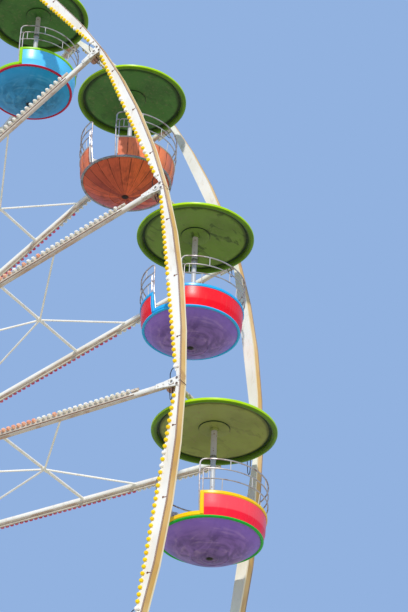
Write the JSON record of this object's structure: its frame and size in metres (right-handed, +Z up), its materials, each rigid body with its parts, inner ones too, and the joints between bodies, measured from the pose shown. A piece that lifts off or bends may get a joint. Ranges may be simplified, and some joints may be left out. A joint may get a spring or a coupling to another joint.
{
  "type": "ferris wheel",
  "caption": "Ferris wheel: two braced white rims turn on A-frames and carry round open gondolas that stay level under lime canopies.",
  "frame": {"origin": "on the ground, midway between the feet and under the hub", "axes": "+Y along the wheel's axle towards the back, +Z up, +X to the right seen from the front"},
  "size_m": [34.08, 8.3, 35.455],
  "materials": {
    "white_paint": "gloss, lightly weathered",
    "steel": "dull machined steel",
    "base_grey": "satin paint",
    "deck_plate": "satin tread plate",
    "lime_canopy": "moulded, semi gloss",
    "tub_blue": "moulded, gloss",
    "tub_wood": "varnished planks",
    "tub_red": "moulded, gloss",
    "tub_crimson": "moulded, gloss"
  },
  "bodies": {
    "base": {"front_support": "white_paint", "back_support": "white_paint", "base_frame": "base_grey", "boarding_deck": "deck_plate"},
    "wheel": {"front_rim": "white_paint", "back_rim": "white_paint", "spoke_quadrant_1": "white_paint", "spoke_quadrant_2": "white_paint", "spoke_quadrant_3": "white_paint", "spoke_quadrant_4": "white_paint", "hub_axle": "steel"},
    "gondola_01": {"gondola_01_canopy": "lime_canopy", "gondola_01_tub": "tub_blue"},
    "gondola_02": {"gondola_02_canopy": "lime_canopy", "gondola_02_tub": "tub_wood"},
    "gondola_03": {"gondola_03_canopy": "lime_canopy", "gondola_03_tub": "tub_red"},
    "gondola_04": {"gondola_04_canopy": "lime_canopy", "gondola_04_tub": "tub_crimson"},
    "gondola_05": {"gondola_05_canopy": "lime_canopy", "gondola_05_tub": "tub_blue"},
    "gondola_06": {"gondola_06_canopy": "lime_canopy", "gondola_06_tub": "tub_wood"},
    "gondola_07": {"gondola_07_canopy": "lime_canopy", "gondola_07_tub": "tub_red"},
    "gondola_08": {"gondola_08_canopy": "lime_canopy", "gondola_08_tub": "tub_crimson"},
    "gondola_09": {"gondola_09_canopy": "lime_canopy", "gondola_09_tub": "tub_blue"},
    "gondola_10": {"gondola_10_canopy": "lime_canopy", "gondola_10_tub": "tub_wood"},
    "gondola_11": {"gondola_11_canopy": "lime_canopy", "gondola_11_tub": "tub_red"},
    "gondola_12": {"gondola_12_canopy": "lime_canopy", "gondola_12_tub": "tub_crimson"},
    "gondola_13": {"gondola_13_canopy": "lime_canopy", "gondola_13_tub": "tub_blue"},
    "gondola_14": {"gondola_14_canopy": "lime_canopy", "gondola_14_tub": "tub_wood"},
    "gondola_15": {"gondola_15_canopy": "lime_canopy", "gondola_15_tub": "tub_red"},
    "gondola_16": {"gondola_16_canopy": "lime_canopy", "gondola_16_tub": "tub_crimson"},
    "gondola_17": {"gondola_17_canopy": "lime_canopy", "gondola_17_tub": "tub_blue"},
    "gondola_18": {"gondola_18_canopy": "lime_canopy", "gondola_18_tub": "tub_wood"},
    "gondola_19": {"gondola_19_canopy": "lime_canopy", "gondola_19_tub": "tub_red"},
    "gondola_20": {"gondola_20_canopy": "lime_canopy", "gondola_20_tub": "tub_crimson"},
    "gondola_21": {"gondola_21_canopy": "lime_canopy", "gondola_21_tub": "tub_blue"},
    "gondola_22": {"gondola_22_canopy": "lime_canopy", "gondola_22_tub": "tub_wood"},
    "gondola_23": {"gondola_23_canopy": "lime_canopy", "gondola_23_tub": "tub_red"},
    "gondola_24": {"gondola_24_canopy": "lime_canopy", "gondola_24_tub": "tub_crimson"}
  },
  "joints": [
    {"name": "wheel_spin", "type": "hinge", "parent": "base", "child": "wheel", "pos_m": [0, 0, 19.3], "axis": [0, 1, 0], "continuous": true},
    {"name": "gondola_01_level", "type": "hinge", "parent": "wheel", "child": "gondola_01", "pos_m": [11.31371, 0, 30.61371], "axis": [0, 1, 0], "continuous": true},
    {"name": "gondola_02_level", "type": "hinge", "parent": "wheel", "child": "gondola_02", "pos_m": [13.85641, 0, 27.3], "axis": [0, 1, 0], "continuous": true},
    {"name": "gondola_03_level", "type": "hinge", "parent": "wheel", "child": "gondola_03", "pos_m": [15.45481, 0, 23.44111], "axis": [0, 1, 0], "continuous": true},
    {"name": "gondola_04_level", "type": "hinge", "parent": "wheel", "child": "gondola_04", "pos_m": [16, 0, 19.3], "axis": [0, 1, 0], "continuous": true},
    {"name": "gondola_05_level", "type": "hinge", "parent": "wheel", "child": "gondola_05", "pos_m": [15.45481, 0, 15.15889], "axis": [0, 1, 0], "continuous": true},
    {"name": "gondola_06_level", "type": "hinge", "parent": "wheel", "child": "gondola_06", "pos_m": [13.85641, 0, 11.3], "axis": [0, 1, 0], "continuous": true},
    {"name": "gondola_07_level", "type": "hinge", "parent": "wheel", "child": "gondola_07", "pos_m": [11.31371, 0, 7.98629], "axis": [0, 1, 0], "continuous": true},
    {"name": "gondola_08_level", "type": "hinge", "parent": "wheel", "child": "gondola_08", "pos_m": [8, 0, 5.44359], "axis": [0, 1, 0], "continuous": true},
    {"name": "gondola_09_level", "type": "hinge", "parent": "wheel", "child": "gondola_09", "pos_m": [4.1411, 0, 3.84519], "axis": [0, 1, 0], "continuous": true},
    {"name": "gondola_10_level", "type": "hinge", "parent": "wheel", "child": "gondola_10", "pos_m": [0, 0, 3.3], "axis": [0, 1, 0], "continuous": true},
    {"name": "gondola_11_level", "type": "hinge", "parent": "wheel", "child": "gondola_11", "pos_m": [-4.1411, 0, 3.84519], "axis": [0, 1, 0], "continuous": true},
    {"name": "gondola_12_level", "type": "hinge", "parent": "wheel", "child": "gondola_12", "pos_m": [-8, 0, 5.44359], "axis": [0, 1, 0], "continuous": true},
    {"name": "gondola_13_level", "type": "hinge", "parent": "wheel", "child": "gondola_13", "pos_m": [-11.31371, 0, 7.98629], "axis": [0, 1, 0], "continuous": true},
    {"name": "gondola_14_level", "type": "hinge", "parent": "wheel", "child": "gondola_14", "pos_m": [-13.85641, 0, 11.3], "axis": [0, 1, 0], "continuous": true},
    {"name": "gondola_15_level", "type": "hinge", "parent": "wheel", "child": "gondola_15", "pos_m": [-15.45481, 0, 15.15889], "axis": [0, 1, 0], "continuous": true},
    {"name": "gondola_16_level", "type": "hinge", "parent": "wheel", "child": "gondola_16", "pos_m": [-16, 0, 19.3], "axis": [0, 1, 0], "continuous": true},
    {"name": "gondola_17_level", "type": "hinge", "parent": "wheel", "child": "gondola_17", "pos_m": [-15.45481, 0, 23.44111], "axis": [0, 1, 0], "continuous": true},
    {"name": "gondola_18_level", "type": "hinge", "parent": "wheel", "child": "gondola_18", "pos_m": [-13.85641, 0, 27.3], "axis": [0, 1, 0], "continuous": true},
    {"name": "gondola_19_level", "type": "hinge", "parent": "wheel", "child": "gondola_19", "pos_m": [-11.31371, 0, 30.61371], "axis": [0, 1, 0], "continuous": true},
    {"name": "gondola_20_level", "type": "hinge", "parent": "wheel", "child": "gondola_20", "pos_m": [-8, 0, 33.15641], "axis": [0, 1, 0], "continuous": true},
    {"name": "gondola_21_level", "type": "hinge", "parent": "wheel", "child": "gondola_21", "pos_m": [-4.1411, 0, 34.75481], "axis": [0, 1, 0], "continuous": true},
    {"name": "gondola_22_level", "type": "hinge", "parent": "wheel", "child": "gondola_22", "pos_m": [0, 0, 35.3], "axis": [0, 1, 0], "continuous": true},
    {"name": "gondola_23_level", "type": "hinge", "parent": "wheel", "child": "gondola_23", "pos_m": [4.1411, 0, 34.75481], "axis": [0, 1, 0], "continuous": true},
    {"name": "gondola_24_level", "type": "hinge", "parent": "wheel", "child": "gondola_24", "pos_m": [8, 0, 33.15641], "axis": [0, 1, 0], "continuous": true}
  ],
  "couplings": [
    {"joint": "gondola_01_level", "follows": "wheel_spin", "ratio": -1},
    {"joint": "gondola_02_level", "follows": "wheel_spin", "ratio": -1},
    {"joint": "gondola_03_level", "follows": "wheel_spin", "ratio": -1},
    {"joint": "gondola_04_level", "follows": "wheel_spin", "ratio": -1},
    {"joint": "gondola_05_level", "follows": "wheel_spin", "ratio": -1},
    {"joint": "gondola_06_level", "follows": "wheel_spin", "ratio": -1},
    {"joint": "gondola_07_level", "follows": "wheel_spin", "ratio": -1},
    {"joint": "gondola_08_level", "follows": "wheel_spin", "ratio": -1},
    {"joint": "gondola_09_level", "follows": "wheel_spin", "ratio": -1},
    {"joint": "gondola_10_level", "follows": "wheel_spin", "ratio": -1},
    {"joint": "gondola_11_level", "follows": "wheel_spin", "ratio": -1},
    {"joint": "gondola_12_level", "follows": "wheel_spin", "ratio": -1},
    {"joint": "gondola_13_level", "follows": "wheel_spin", "ratio": -1},
    {"joint": "gondola_14_level", "follows": "wheel_spin", "ratio": -1},
    {"joint": "gondola_15_level", "follows": "wheel_spin", "ratio": -1},
    {"joint": "gondola_16_level", "follows": "wheel_spin", "ratio": -1},
    {"joint": "gondola_17_level", "follows": "wheel_spin", "ratio": -1},
    {"joint": "gondola_18_level", "follows": "wheel_spin", "ratio": -1},
    {"joint": "gondola_19_level", "follows": "wheel_spin", "ratio": -1},
    {"joint": "gondola_20_level", "follows": "wheel_spin", "ratio": -1},
    {"joint": "gondola_21_level", "follows": "wheel_spin", "ratio": -1},
    {"joint": "gondola_22_level", "follows": "wheel_spin", "ratio": -1},
    {"joint": "gondola_23_level", "follows": "wheel_spin", "ratio": -1},
    {"joint": "gondola_24_level", "follows": "wheel_spin", "ratio": -1}
  ]
}
